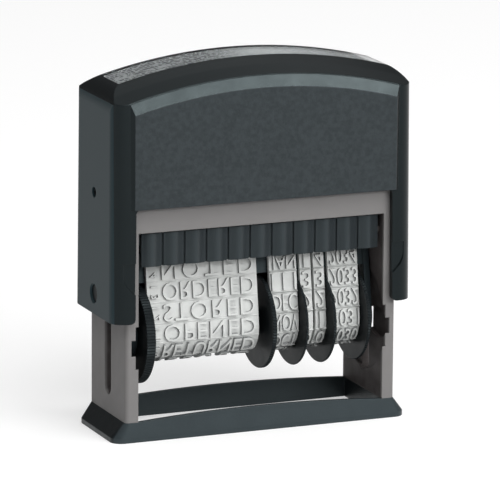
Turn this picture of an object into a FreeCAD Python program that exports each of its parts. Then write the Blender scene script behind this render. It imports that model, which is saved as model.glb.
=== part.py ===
import FreeCAD, Part
import math
import os

# A self-inking date and phrase stamp, in millimetres. Z is up, X runs along the bands from
# left to right, and the front faces -Y. The origin is the middle of the foot's underside.

Vec = FreeCAD.Vector

# Clearances
body_gap = 0.3          # between pieces that slide past each other
running_fit = 0.05      # a pin's or shaft's radius to its hole or slot
side_play = 0.15        # beside a turning wheel
seat_play = 0.1         # round a piece that is set into another
ink_gap = 0.1           # between the type and the felt at rest
felt_margin = 0.3       # between the felt's ends and the tray
spring_seat = 0.02      # between the return spring and the floor of its well
overcut = 1.0           # how far a cutter runs past the face that it opens

# Print unit, seen along X
travel = 19.4           # the cap's stroke
type_reach = 9.8        # pivot to type face
shaft_drop = 8.8        # pivot to the wheel shaft
pin_r = 1.75
shaft_r = 1.5
band_drum_r = 6.4       # over the type, round the wheels
band_thick = 1.5        # carcass and type together
type_height = 0.4
nose_r = 2.0            # where a band turns round the platen's edges
nose_half = 2.0         # half of the flat that prints
row_count = 15
row_groove = 0.45
disc_r = 9.75
phrase_disc_r = 10.5
knurl_pitch = 1.6
knurl_depth = 0.2
hub_r = 2.7
cheek_thick = 1.3
cheek_nose_r = 2.6
cheek_drum_r = 5.4
cheek_short = 0.8       # the cheeks stay this far short of the type face

# Bands and thumb discs along the shaft; the phrase band takes the width that is left over
phrase_disc_width = 1.9
phrase_disc_room = 0.3  # between the phrase disc and its band
phrase_end_room = 1.55  # between the phrase band and the month disc
month_disc_width = 0.9
month_disc_room = 0.35
month_band_width = 6.0
tens_disc_width = 0.45
tens_band_width = 2.45
digit_room = 0.55       # between the tens and units bands
units_band_width = 2.35
units_disc_width = 0.55
year_band_width = 6.65
year_disc_room = 0.2
year_disc_width = 0.65
line_end_room = 0.85    # between the year disc and the right cheek

# Frame
frame_width = 59.2
frame_depth = 20.0
frame_edge_r = 0.9
leg_thick = 2.75
deck_thick = 5.8
deck_chamfer = 0.6
deck_end_chamfer = 1.6
deck_skin = 1.4
deck_rib = 1.5
deck_bays = 2           # lightening bays on each side of the spring's well
bay_corner_r = 0.8
relief_r = 10.9         # round relief in each leg's inner face
relief_depth = 0.6
cam_depth = 0.9         # cam pocket, deeper than the relief
cam_steps = 8
slot_floor = 1.9        # slot's end below the pressed pivot
slot_head = 1.9         # slot's end above the resting pivot
ledge_width = 0.9
ledge_height = 1.0
ledge_rise = 0.8        # ledge's top over the felt's face
tab_length = 3.0        # tongue under each leg, set into the foot
tab_shoulder = 1.0
tab_inset = 0.5
tab_depth = 15.0

# Foot
foot_flare_x = 2.6      # kerb beyond the legs' outer faces
foot_flare_y = 0.3      # kerb beyond the legs' front and rear faces
foot_corner_r = 2.4
foot_kerb = 1.0
foot_height = 4.1
rim_rise = 1.0
rim_thick = 0.95

# Ink pad
felt_thick = 2.4
felt_depth = 13.6
felt_corner_r = 0.8
tray_roof = 1.3
tray_side_gap = 0.75    # between the tray and each leg
tray_wall = 1.3
grip_drop = 3.15        # the front grip's lower edge, below the felt's face
grip_inset = 0.65       # the grip's face, behind the frame's
flute_count = 11
flute_bulge = 0.35
flute_groove = 0.45
grip_thick = 1.3
rear_lip_lift = 0.2     # the rear wall's lower edge, above the felt's face

# Cap
cap_stand = 5.6         # lower edge above the paper when pressed
cap_side_wall = 2.85
cap_front_wall = 1.45
cap_draft = 0.3         # each wall leans in by this from the lower edge to the crown
cap_corner_r = 3.1
crown_room = 8.6        # pressed deck to the crown
arch_r = 110.5          # the crown's arc, seen from the front
crown_half = 5.35       # half of the flat strip along the crown
shoulder_fall = 2.7
shoulder_inset = 0.9    # panel face to the shoulder's foot
shoulder_bulge = 0.12
bevel_fall = 5.4        # crown to the bevel's foot
panel_raise = 0.55
panel_lap = 0.4         # the panel's side edge, beyond the opening's
panel_overlap = 0.5     # the panel's lower edge, below the deck's top
pillar_width = 4.7
pillar_draft = 0.2
pillar_round = 1.0
edge_round = 0.3
end_r = 5.5             # round from each side wall into the crown
core_depth = 1.15       # coring inside each side wall
core_half = 7.0
core_margin = 7.0
boss_mark_r = 1.1       # small round mark on each side wall
boss_mark_depth = 0.5
boss_mark_up = 20.9     # above the pivot
pin_countersink = 0.3
pin_recess = 0.5
scoop_width = 2.6       # finger scoop on each pillar
scoop_height = 6.4
scoop_up = 6.0          # above the cap's lower edge
scoop_slope = 2.4       # height of its slanted lower end
scoop_depth = 0.45
scoop_r = 4.5

# Index card under its window
window_end_gap = 3.45   # from the cap's end
window_depth = 10.0
window_thick = 0.9
card_thick = 0.3
card_pocket_floor = 1.2

# Return spring
spring_turns = 6
spring_wire = 0.9
spring_sides = 6
spring_mean_r = 4.05
spigot_length = 3.0     # boss under the cap's ceiling that centres the spring
well_floor = 2.0
well_wall = 1.3
well_lip = 1.6

# Worked out from the sizes above
pivot_z = type_reach + travel
shaft_z = pivot_z - shaft_drop
type_z = pivot_z + type_reach
nose_z = type_z - nose_r
felt_z = type_z + ink_gap
ledge_top_z = felt_z + ledge_rise
tray_top_z = felt_z + felt_thick + tray_roof
deck_z = tray_top_z + body_gap
deck_top_z = deck_z + deck_thick
leg_out = frame_width / 2
leg_in = leg_out - leg_thick
frame_half = frame_depth / 2
cheek_out = leg_in - body_gap
cheek_in = cheek_out - cheek_thick
cam_x = leg_in + relief_depth + cam_depth
slot_half = pin_r + running_fit
foot_half_x = leg_out + foot_flare_x
foot_half_y = frame_half + foot_flare_y
tray_half_x = leg_in - tray_side_gap
grip_y = frame_half - grip_inset
tray_body_y = grip_y - grip_thick
felt_half_x = tray_half_x - tray_wall - felt_margin
cap_low_z = travel + cap_stand
cap_half_x = leg_out + body_gap + cap_side_wall
pillar_half_y = frame_half + body_gap + cap_front_wall
panel_half_y = pillar_half_y + panel_raise
cap_reach_y = panel_half_y + overcut
opening_half_x = cap_half_x - pillar_width
cavity_x = leg_out + body_gap
cavity_y = frame_half + body_gap
crown_z = deck_top_z + travel + crown_room
arch_z = crown_z - arch_r
panel_z = deck_top_z - panel_overlap
card_pocket = window_thick + card_thick + seat_play
ceiling_z = crown_z - card_pocket - card_pocket_floor
window_half_x = cap_half_x - window_end_gap
well_r = spring_mean_r + spring_wire / 2 + body_gap
well_z = deck_z + well_floor

# The pieces on the shaft from right to left: wheel, kind, width and the room on its right
shaft_line = [
    ("year", "disc", year_disc_width, line_end_room),
    ("year", "band", year_band_width, year_disc_room),
    ("units", "disc", units_disc_width, side_play),
    ("units", "band", units_band_width, side_play),
    ("tens", "band", tens_band_width, digit_room),
    ("tens", "disc", tens_disc_width, side_play),
    ("month", "band", month_band_width, side_play),
    ("month", "disc", month_disc_width, month_disc_room),
]
wheels = ["phrase", "month", "tens", "units", "year"]


def on_plan(z):
    return lambda u, v: Vec(u, v, z)


def on_front(y):
    return lambda u, v: Vec(u, y, v)


def on_side(x):
    return lambda u, v: Vec(x, u, v)


# A closed wire through corners (u, v, radius), each one rounded by its radius.
def outline(corners, place):
    ends = []
    for i, (u, v, radius) in enumerate(corners):
        here = Vec(u, v, 0)
        before = Vec(corners[i - 1][0], corners[i - 1][1], 0)
        after = Vec(corners[(i + 1) % len(corners)][0], corners[(i + 1) % len(corners)][1], 0)
        back = (before - here).normalize()
        on = (after - here).normalize()
        if radius > 0:
            half = back.getAngle(on) / 2
            reach = radius / math.tan(half)
            inward = (back + on).normalize()
            middle = here + inward * (radius / math.sin(half) - radius)
            ends.append((here + back * reach, middle, here + on * reach))
        else:
            ends.append((here, None, here))
    edges = []
    for i, (start, middle, stop) in enumerate(ends):
        if middle is not None:
            arc = Part.Arc(place(start.x, start.y), place(middle.x, middle.y), place(stop.x, stop.y))
            edges.append(arc.toShape())
        ahead = ends[(i + 1) % len(ends)][0]
        if (ahead - stop).Length > 1e-6:
            edges.append(Part.makeLine(place(stop.x, stop.y), place(ahead.x, ahead.y)))
    return Part.Wire(edges)


# Both halves of an outline that is the same to the left and right of u = 0.
def mirrored(half):
    return half + [(-u, v, radius) for u, v, radius in reversed(half)]


def prism(corners, place, along):
    return Part.Face(outline(corners, place)).extrude(along)


def block(x0, x1, y0, y1, z0, z1):
    return Part.makeBox(x1 - x0, y1 - y0, z1 - z0, Vec(x0, y0, z0))


def rod(radius, x0, x1, y, z):
    return Part.makeCylinder(radius, x1 - x0, Vec(x0, y, z), Vec(1, 0, 0))


def rectangle(half_u, half_v, radius):
    return mirrored([(half_u, -half_v, radius), (half_u, half_v, radius)])


# The shape and its mirror image to the left.
def left_and_right(shape):
    return [shape, shape.mirror(Vec(0, 0, 0), Vec(1, 0, 0))]


def front_and_back(shape):
    return [shape, shape.mirror(Vec(0, 0, 0), Vec(0, 1, 0))]


def fused(shapes):
    return shapes[0].multiFuse(shapes[1:]).removeSplitter()


# A block with round upright edges, whose four walls lean in on their way up.
def drafted_block(half_x, half_y, corner_r, lean, z0, z1):
    long_sides = prism(mirrored([(half_y, z0, 0), (half_y - lean, z1, 0)]), on_side(-half_x),
                       Vec(2 * half_x, 0, 0))
    short_sides = prism(mirrored([(half_x, z0, 0), (half_x - lean, z1, 0)]), on_front(-half_y),
                        Vec(0, 2 * half_y, 0))
    shape = long_sides.common(short_sides)
    upright = [edge for edge in shape.Edges if edge.BoundBox.ZLength > (z1 - z0) / 2]
    return shape.makeFillet(corner_r, upright)


# A face in the plane X = 0, swung along the crown's arc until all of it passes half_x.
def along_arch(face, half_x):
    low_r = face.BoundBox.ZMin - arch_z
    half_angle = math.degrees(math.asin((half_x + overcut) / low_r))
    start = face.copy()
    start.rotate(Vec(0, 0, arch_z), Vec(0, 1, 0), -half_angle)
    return start.revolve(Vec(0, 0, arch_z), Vec(0, 1, 0), 2 * half_angle)


# A slab that follows the crown's arc, its top this far under the crown.
def arched_slab(depth_below, thick, half_x, half_y):
    top = crown_z - depth_below
    corners = mirrored([(half_y, top - thick, 0), (half_y, top, 0)])
    swung = along_arch(Part.Face(outline(corners, on_side(0))), half_x)
    return swung.common(block(-half_x, half_x, -cap_reach_y, cap_reach_y, 0, crown_z + overcut))


# The tilt of the band loop's straight sides, and their length, as seen along X.
def loop_sizes(nose_gap, top_r, top_z, low_r, low_z):
    span = math.hypot(nose_gap, top_z - low_z)
    tilt = math.atan2(top_z - low_z, nose_gap) - math.acos((low_r - top_r) / span)
    side_run = math.sqrt(span ** 2 - (low_r - top_r) ** 2)
    return tilt, side_run


# The hull of two upper rounds and one lower round, all inset alike.
def loop_wire(nose_gap, top_r, top_z, low_r, low_z, inset, x):
    place = on_side(x)
    tilt, _ = loop_sizes(nose_gap, top_r, top_z, low_r, low_z)
    top = top_r - inset
    low = low_r - inset

    def on_top(side, angle):
        return place(side * (nose_gap + top * math.cos(angle)), top_z + top * math.sin(angle))

    def on_low(side, angle):
        return place(side * low * math.cos(angle), low_z + low * math.sin(angle))

    edges = []
    for side in (1, -1):
        middle = (math.pi / 2 + tilt) / 2
        arc = Part.Arc(on_top(side, math.pi / 2), on_top(side, middle), on_top(side, tilt))
        edges.append(arc.toShape())
        edges.append(Part.makeLine(on_top(side, tilt), on_low(side, tilt)))
    edges.append(Part.Arc(on_low(1, tilt), on_low(1, -math.pi / 2), on_low(-1, tilt)).toShape())
    if nose_gap > 0:
        edges.append(Part.makeLine(on_top(1, math.pi / 2), on_top(-1, math.pi / 2)))
    return Part.Wire(Part.__sortEdges__(edges))


def band_loop(inset, x):
    return loop_wire(nose_half, nose_r, nose_z, band_drum_r, shaft_z, inset, x)


def cheek_loop(x):
    top_z = type_z - cheek_short - cheek_nose_r
    return loop_wire(0, cheek_nose_r, top_z, cheek_drum_r, shaft_z, 0, x)


# A point on the band's outer face and its outward direction, by its distance round the
# loop from the middle of the printing flat.
def loop_point(distance):
    tilt, side_run = loop_sizes(nose_half, nose_r, nose_z, band_drum_r, shaft_z)
    turn = math.pi / 2 - tilt
    half_drum = math.pi / 2 + tilt
    half_loop = nose_half + nose_r * turn + side_run + band_drum_r * half_drum
    side = 1
    if distance > half_loop:
        distance = 2 * half_loop - distance
        side = -1
    if distance <= nose_half:
        return side * distance, type_z, math.pi / 2, half_loop
    distance -= nose_half
    if distance <= nose_r * turn:
        angle = math.pi / 2 - distance / nose_r
        y = nose_half + nose_r * math.cos(angle)
        z = nose_z + nose_r * math.sin(angle)
    elif distance <= nose_r * turn + side_run:
        angle = tilt
        run = distance - nose_r * turn
        y = nose_half + nose_r * math.cos(tilt) + run * math.sin(tilt)
        z = nose_z + nose_r * math.sin(tilt) - run * math.cos(tilt)
    else:
        angle = tilt - (distance - nose_r * turn - side_run) / band_drum_r
        y = band_drum_r * math.cos(angle)
        z = shaft_z + band_drum_r * math.sin(angle)
    if side < 0:
        angle = math.pi - angle
    return side * y, z, angle, half_loop


# The band's outline seen along X, with a groove between each two rows of type.
def band_face():
    face = Part.Face(band_loop(0, 0)).cut(Part.Face(band_loop(band_thick, 0)))
    pitch = 2 * loop_point(0)[3] / row_count
    grooves = []
    for row in range(row_count):
        y, z, angle, _ = loop_point((row + 0.5) * pitch)
        out = Vec(0, math.cos(angle), math.sin(angle))
        along = Vec(0, -math.sin(angle), math.cos(angle)) * (row_groove / 2)
        mouth = Vec(0, y, z) + out * row_groove
        floor = Vec(0, y, z) - out * type_height
        corners = [mouth - along, mouth + along, floor + along, floor - along, mouth - along]
        grooves.append(Part.Face(Part.makePolygon(corners)))
    return face.cut(grooves)


# Where each band and disc lies along X.
def shaft_spans():
    places = {}
    edge = cheek_in
    for name, kind, width, room in shaft_line:
        edge -= room + width
        places[name, kind] = (edge, edge + width)
    disc_x = -cheek_in + side_play
    band_x = disc_x + phrase_disc_width + phrase_disc_room
    places["phrase", "disc"] = (disc_x, disc_x + phrase_disc_width)
    places["phrase", "band"] = (band_x, edge - phrase_end_room)
    return places


spans = shaft_spans()


def band(name):
    x0, x1 = spans[name, "band"]
    shape = band_face().extrude(Vec(x1 - x0, 0, 0))
    shape.translate(Vec(x0, 0, 0))
    return shape


# A thumb disc with fine serrations round its rim.
def serrated_disc(radius, x0, x1):
    count = round(2 * math.pi * radius / knurl_pitch)
    points = []
    for step in range(2 * count):
        reach = radius - knurl_depth * (step % 2)
        angle = math.pi * step / count
        points.append(Vec(x0, reach * math.cos(angle), shaft_z + reach * math.sin(angle)))
    return Part.Face(Part.makePolygon(points + points[:1])).extrude(Vec(x1 - x0, 0, 0))


def left_end(name):
    return min(spans[name, "band"][0], spans[name, "disc"][0])


# Each hub runs up to the next wheel on its right, and the last one up to the cheek.
def hub_ends(name):
    if name == wheels[-1]:
        return left_end(name), cheek_in - side_play
    return left_end(name), left_end(wheels[wheels.index(name) + 1]) - side_play


def wheel(name):
    radius = phrase_disc_r if name == "phrase" else disc_r
    drum_r = band_drum_r - band_thick - body_gap
    x0, x1 = spans[name, "band"]
    disc_x0, disc_x1 = spans[name, "disc"]
    low, high = hub_ends(name)
    disc = serrated_disc(radius, disc_x0, disc_x1)
    drum = rod(drum_r, min(x0, disc_x1), max(x1, disc_x0), 0, shaft_z)
    hub = rod(hub_r, low, high, 0, shaft_z)
    bore = rod(shaft_r + running_fit, low - overcut, high + overcut, 0, shaft_z)
    return fused([disc, drum, hub]).cut(bore)


def wheel_shaft():
    reach = cam_x - body_gap
    return rod(shaft_r, -reach, reach, 0, shaft_z)


def cheek(side):
    plate = Part.Face(cheek_loop(cheek_in)).extrude(Vec(cheek_thick, 0, 0))
    pivot = rod(pin_r + running_fit, cheek_in - overcut, cheek_out + overcut, 0, pivot_z)
    seat = rod(shaft_r + running_fit, cheek_in - overcut, cheek_out + overcut, 0, shaft_z)
    plate = plate.cut([pivot, seat])
    return left_and_right(plate)[0 if side > 0 else 1]


def pivot_pin(side):
    pin = rod(pin_r, cheek_in, cap_half_x - pin_recess, 0, pivot_z)
    return left_and_right(pin)[0 if side > 0 else 1]


# The platen bridges the two cheeks, over the thumb discs and under the bands.
def platen():
    bar = Part.Face(band_loop(band_thick + seat_play, -cheek_in)).extrude(Vec(2 * cheek_in, 0, 0))
    clear_z = shaft_z + phrase_disc_r + body_gap
    keep = block(-cheek_in, cheek_in, -band_drum_r, band_drum_r, clear_z, type_z)
    return bar.common(keep)


# The cam pocket's rim, for a shaft end that swings to the front while the pivot sinks.
def cam_rim(x):
    reach = shaft_r + body_gap
    points = []
    for step in range(cam_steps + 1):
        turn = math.pi * step / cam_steps
        y = -shaft_drop * math.sin(turn)
        z = pivot_z - travel * turn / math.pi - shaft_drop * math.cos(turn)
        dy = -shaft_drop * math.cos(turn)
        dz = shaft_drop * math.sin(turn) - travel / math.pi
        speed = math.hypot(dy, dz)
        points.append(Vec(x, y - dz / speed * reach, z + dy / speed * reach))
    rim = Part.BSplineCurve()
    rim.interpolate(points)
    return Part.Wire([rim.toShape(), Part.makeLine(points[-1], points[0])])


def leg_cuts():
    slot_low = type_reach - slot_floor
    slot_high = pivot_z + slot_head
    slot = prism(
        rectangle(slot_half, (slot_high - slot_low) / 2, slot_half),
        on_side(leg_in - overcut), Vec(leg_thick + 2 * overcut, 0, 0))
    slot.translate(Vec(0, 0, (slot_high + slot_low) / 2))
    swing_middle_z = (shaft_z + type_reach + shaft_drop) / 2
    relief = rod(relief_r, leg_in - overcut, leg_in + relief_depth, 0, swing_middle_z)
    cam = Part.Face(cam_rim(leg_in)).extrude(Vec(relief_depth + cam_depth, 0, 0))
    return [slot, relief, cam]


# The deck's front and rear edges and its two ends are chamfered.
def trimmed_frame(shape):
    top_trim = prism(
        mirrored([(frame_half, 0, 0), (frame_half, deck_top_z - deck_chamfer, 0),
                  (frame_half - deck_chamfer, deck_top_z, 0)]),
        on_side(-frame_width), Vec(2 * frame_width, 0, 0))
    end_trim = prism(
        mirrored([(leg_out, 0, 0), (leg_out, deck_top_z - deck_end_chamfer, 0),
                  (leg_out - deck_end_chamfer, deck_top_z, 0)]),
        on_front(-frame_depth), Vec(0, 2 * frame_depth, 0))
    return shape.common(top_trim).common(end_trim)


def deck_pockets():
    bay_start = well_r + well_wall + deck_rib
    bay = (leg_in - deck_rib - bay_start - (deck_bays - 1) * deck_rib) / deck_bays
    pockets = []
    for place in range(deck_bays):
        x0 = bay_start + place * (bay + deck_rib)
        y0 = frame_half - deck_skin
        corners = [(x0, -y0, bay_corner_r), (x0 + bay, -y0, bay_corner_r),
                   (x0 + bay, y0, bay_corner_r), (x0, y0, bay_corner_r)]
        pocket = prism(corners, on_plan(deck_z + deck_skin), Vec(0, 0, deck_thick))
        pockets += left_and_right(pocket)
    return pockets


def frame():
    plan = rectangle(leg_out, frame_half, frame_edge_r)
    shape = prism(plan, on_plan(foot_height), Vec(0, 0, deck_top_z - foot_height))
    portal = block(-leg_in, leg_in, -frame_depth, frame_depth, 0, deck_z)
    shape = trimmed_frame(shape.cut(portal))
    cuts = deck_pockets()
    for cutter in leg_cuts():
        cuts += left_and_right(cutter)
    shape = shape.cut(cuts)
    boss = Part.makeCylinder(well_r + well_wall, deck_thick + well_lip, Vec(0, 0, deck_z))
    tab = block(leg_in + tab_inset, leg_out - tab_shoulder, -tab_depth / 2, tab_depth / 2,
                foot_height - tab_length, foot_height)
    ledge_y = tray_body_y - body_gap
    ledge = block(leg_in - ledge_width, leg_in + relief_depth, -ledge_y, ledge_y,
                  ledge_top_z - ledge_height, ledge_top_z)
    shape = fused([shape, boss] + left_and_right(tab) + left_and_right(ledge))
    well = Part.makeCylinder(well_r, crown_z, Vec(0, 0, well_z))
    return shape.cut(well)


# The foot flares from the legs' outline down to a kerb, and its mouth is open to the paper.
def foot():
    kerb_plan = rectangle(foot_half_x, foot_half_y, foot_corner_r)
    kerb = prism(kerb_plan, on_plan(0), Vec(0, 0, foot_kerb))
    low = outline(kerb_plan, on_plan(foot_kerb))
    high = outline(rectangle(leg_out, frame_half, frame_edge_r), on_plan(foot_height))
    flare = Part.makeLoft([low, high], True, True)
    rim_arc = Part.Arc(
        Vec(-leg_in, -frame_half, foot_height), Vec(0, -frame_half, foot_height + rim_rise),
        Vec(leg_in, -frame_half, foot_height))
    rim_chord = Part.makeLine(Vec(leg_in, -frame_half, foot_height), Vec(-leg_in, -frame_half, foot_height))
    rim = Part.Face(Part.Wire([rim_arc.toShape(), rim_chord])).extrude(Vec(0, frame_depth, 0))
    shape = fused([kerb, flare, rim])
    mouth_y = frame_half - rim_thick
    mouth = block(-leg_in, leg_in, -mouth_y, mouth_y, -overcut, foot_height + rim_rise + overcut)
    pocket = block(leg_in + tab_inset - seat_play, leg_out - tab_shoulder + seat_play,
                   -tab_depth / 2 - seat_play, tab_depth / 2 + seat_play,
                   foot_height - tab_length - seat_play, foot_height + overcut)
    return shape.cut([mouth] + left_and_right(pocket))


# A grip wall of convex flutes, on the front.
def fluted_wall(half_x, face_y, z0, z1):
    pitch = 2 * half_x / flute_count
    low = face_y - flute_bulge
    dip = low - flute_groove
    back = face_y - grip_thick
    edges = []
    for flute in range(flute_count):
        start = -half_x + flute * pitch + flute_groove / 2
        stop = start + pitch - flute_groove
        bulge = Part.Arc(
            Vec(start, -low, z0), Vec((start + stop) / 2, -face_y, z0), Vec(stop, -low, z0))
        edges.append(bulge.toShape())
        if flute < flute_count - 1:
            onward = stop + flute_groove
            edges.append(Part.makeLine(Vec(stop, -low, z0), Vec(stop, -dip, z0)))
            edges.append(Part.makeLine(Vec(stop, -dip, z0), Vec(onward, -dip, z0)))
            edges.append(Part.makeLine(Vec(onward, -dip, z0), Vec(onward, -low, z0)))
    right = half_x - flute_groove / 2
    edges.append(Part.makeLine(Vec(right, -low, z0), Vec(right, -back, z0)))
    edges.append(Part.makeLine(Vec(right, -back, z0), Vec(-right, -back, z0)))
    edges.append(Part.makeLine(Vec(-right, -back, z0), Vec(-right, -low, z0)))
    return Part.Face(Part.Wire(edges)).extrude(Vec(0, 0, z1 - z0))


# The tray hangs on two ledges by its side walls. Its rear wall stops above the type, so
# that it slides out to the front.
def pad_tray():
    inner_x = tray_half_x - tray_wall
    body = block(-tray_half_x, tray_half_x, -tray_body_y, tray_body_y, ledge_top_z + ink_gap, tray_top_z)
    hollow = block(-inner_x, inner_x, -frame_half, frame_half, 0, tray_top_z - tray_roof)
    front = fluted_wall(tray_half_x, grip_y, felt_z - grip_drop, tray_top_z)
    rear_x = leg_in - ledge_width - body_gap
    rear = front_and_back(fluted_wall(rear_x, grip_y, felt_z + rear_lip_lift, tray_top_z))[1]
    return fused([body.cut(hollow), front, rear])


def pad_felt():
    plan = rectangle(felt_half_x, felt_depth / 2, felt_corner_r)
    return prism(plan, on_plan(felt_z), Vec(0, 0, felt_thick))


# The roof seen along X: face, bevel or small facet, convex shoulder and crown strip.
def roof_profile(face_y, foot_z):
    shoulder_y = panel_half_y - shoulder_inset
    shoulder_z = crown_z - shoulder_fall
    rise = math.atan2(shoulder_fall, shoulder_y - crown_half)
    middle_y = (shoulder_y + crown_half) / 2 + shoulder_bulge * math.sin(rise)
    middle_z = (shoulder_z + crown_z) / 2 + shoulder_bulge * math.cos(rise)
    return mirrored([
        (face_y, cap_low_z - overcut, 0), (face_y, foot_z, edge_round),
        (shoulder_y, shoulder_z, edge_round), (middle_y, middle_z, 4 * edge_round),
        (crown_half, crown_z, edge_round)])


# Seen from the front: side walls that lean in, and rounded ends under the arch's tangent.
def end_outline(half_x, lean, end_round, top_z):
    radius = top_z - arch_z
    end_x = half_x - lean
    drop = math.sqrt(radius ** 2 - end_x ** 2)
    end_z = arch_z + drop
    side_x = half_x - lean * (end_z - cap_low_z) / (crown_z - cap_low_z)
    ridge_z = end_z + side_x * end_x / drop
    right = [(half_x, cap_low_z, 0), (side_x, end_z, end_round)]
    return right + [(0, ridge_z, 0)] + mirrored(right)[2:]


# The cap's outside without its panels.
def cap_body():
    walls = drafted_block(cap_half_x, pillar_half_y, cap_corner_r, cap_draft, cap_low_z, crown_z)
    ends = prism(end_outline(cap_half_x, cap_draft, end_r, crown_z), on_front(-cap_reach_y),
                 Vec(0, 2 * cap_reach_y, 0))
    roof = roof_profile(pillar_half_y, crown_z - shoulder_fall - panel_raise)
    return walls.common(ends).common(along_arch(Part.Face(outline(roof, on_side(0))), cap_half_x))


# The raised front panel, with its sloping sides and the bevel over it.
def cap_panel():
    half_x = opening_half_x + panel_lap
    slope = panel_raise + cap_front_wall
    corners = mirrored([(half_x + slope, slope - panel_half_y, 0), (half_x, -panel_half_y, edge_round)])
    slab = prism(corners, on_plan(panel_z), Vec(0, 0, crown_z - panel_z))
    roof = roof_profile(panel_half_y, crown_z - bevel_fall)
    return slab.common(along_arch(Part.Face(outline(roof, on_side(0))), cap_half_x))


# The hollow that comes down over the frame's deck.
def cap_cavity():
    roof = outline(roof_profile(panel_half_y, crown_z - bevel_fall), on_side(0))
    ceiling = Part.Face(roof.makeOffset2D(-cap_front_wall)).common(
        block(-overcut, overcut, -cap_reach_y, cap_reach_y, 0, ceiling_z))
    plan = prism(rectangle(cavity_x, cavity_y, frame_edge_r + body_gap), on_plan(cap_low_z - overcut),
                 Vec(0, 0, crown_z - cap_low_z))
    ends = prism(end_outline(cavity_x, 0, end_r - cap_front_wall, ceiling_z), on_front(-cap_reach_y),
                 Vec(0, 2 * cap_reach_y, 0))
    ends = fused([ends, block(-cavity_x, cavity_x, -cap_reach_y, cap_reach_y, 0, cap_low_z)])
    return plan.common(ends).common(along_arch(ceiling.Faces[0], cap_half_x))


def cap_opening():
    half_low = opening_half_x + pillar_draft / 2
    half_high = half_low - pillar_draft
    corners = mirrored([
        (cap_half_x, cap_low_z - overcut, 0), (cap_half_x, cap_low_z, 0),
        (half_low, cap_low_z, pillar_round), (half_high, panel_z, pillar_round)])
    return prism(corners, on_front(-cap_reach_y), Vec(0, 2 * cap_reach_y, 0))


def finger_scoop():
    low_z = cap_low_z + scoop_up
    high_z = low_z + scoop_height
    inner_x = opening_half_x - pillar_draft
    outer_x = opening_half_x + scoop_width
    corners = [(inner_x, low_z, 0), (inner_x, high_z, 0), (outer_x, high_z, 0),
               (outer_x, low_z + scoop_slope, scoop_r), (opening_half_x + pillar_draft, low_z, 0)]
    return prism(corners, on_front(-pillar_half_y - overcut), Vec(0, overcut + scoop_depth, 0))


# What is cut into each side wall: coring, the pivot pin's hole and a small round mark.
def side_wall_cuts():
    core = block(cavity_x - overcut, cavity_x + core_depth, -core_half, core_half,
                 pivot_z + core_margin, deck_top_z + travel - core_margin)
    hole_r = pin_r + running_fit
    pin_hole = rod(hole_r, leg_out, cap_half_x + overcut, 0, pivot_z)
    countersink = Part.makeCone(
        hole_r, hole_r + pin_countersink + overcut, pin_countersink + overcut,
        Vec(cap_half_x - pin_countersink, 0, pivot_z), Vec(1, 0, 0))
    mark = rod(boss_mark_r, cap_half_x - boss_mark_depth - cap_draft / 2, cap_half_x + overcut, 0,
               pivot_z + boss_mark_up)
    return [core, pin_hole, countersink, mark]


def cap_shell():
    outer = fused([cap_body()] + front_and_back(cap_panel()))
    pocket = arched_slab(0, card_pocket, window_half_x + seat_play, window_depth / 2 + seat_play)
    cuts = [cap_cavity(), pocket, cap_opening()]
    for cutter in side_wall_cuts():
        cuts += left_and_right(cutter)
    for cutter in left_and_right(finger_scoop()):
        cuts += front_and_back(cutter)
    spigot = Part.makeCylinder(spring_mean_r - spring_wire / 2 - body_gap, spigot_length + overcut,
                               Vec(0, 0, ceiling_z - spigot_length))
    return fused([outer.cut(cuts), spigot])


def index_card():
    return arched_slab(card_pocket - card_thick, card_thick, window_half_x, window_depth / 2)


def index_window():
    return arched_slab(0, window_thick, window_half_x, window_depth / 2)


# Two arcs that join two points and leave along the given directions.
def biarc(start, start_way, stop, stop_way):
    across = stop - start
    both = start_way + stop_way
    spread = 2 * (1 - start_way.dot(stop_way))
    reach = (-across.dot(both) + math.sqrt(across.dot(both) ** 2 + spread * across.dot(across))) / spread
    first = start + start_way * reach
    second = stop - stop_way * reach
    middle = (first + second) * 0.5
    edges = []
    for begin, corner, end in ((start, first, middle), (middle, second, stop)):
        chord_middle = (begin + end) * 0.5
        to_chord = chord_middle - corner
        half_chord = (end - begin).Length / 2
        rise = half_chord * math.tan(math.atan2(to_chord.Length, half_chord) / 2)
        edges.append(Part.Arc(begin, chord_middle - to_chord.normalize() * rise, end).toShape())
    return edges


def return_spring():
    low = well_z + spring_wire / 2 + spring_seat
    high = ceiling_z - spring_wire / 2 - seat_play
    half_turns = 2 * spring_turns
    rise = (high - low) / (math.pi * half_turns)

    def helix(turn):
        place = Vec(spring_mean_r * math.cos(turn), spring_mean_r * math.sin(turn), low + rise * turn)
        way = Vec(-spring_mean_r * math.sin(turn), spring_mean_r * math.cos(turn), rise)
        return place, way.normalize()

    edges = []
    for half_turn in range(half_turns):
        start, start_way = helix(math.pi * half_turn)
        stop, stop_way = helix(math.pi * (half_turn + 1))
        edges += biarc(start, start_way, stop, stop_way)
    start, start_way = helix(0)
    side_way = Vec(1, 0, 0)
    up_way = start_way.cross(side_way)
    corners = []
    for side in range(spring_sides + 1):
        angle = 2 * math.pi * side / spring_sides
        spoke = side_way * math.cos(angle) + up_way * math.sin(angle)
        corners.append(start + spoke * (spring_wire / 2))
    points = [helix(2 * math.pi * step / 36)[0] for step in range(36 * spring_turns + 1)]
    coil_gap = min((points[i + 36] - points[i]).Length for i in range(len(points) - 36)) - spring_wire
    print("spring: least gap between turns", round(coil_gap, 2))
    return Part.Wire(edges).makePipeShell([Part.makePolygon(corners)], True, False)


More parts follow.
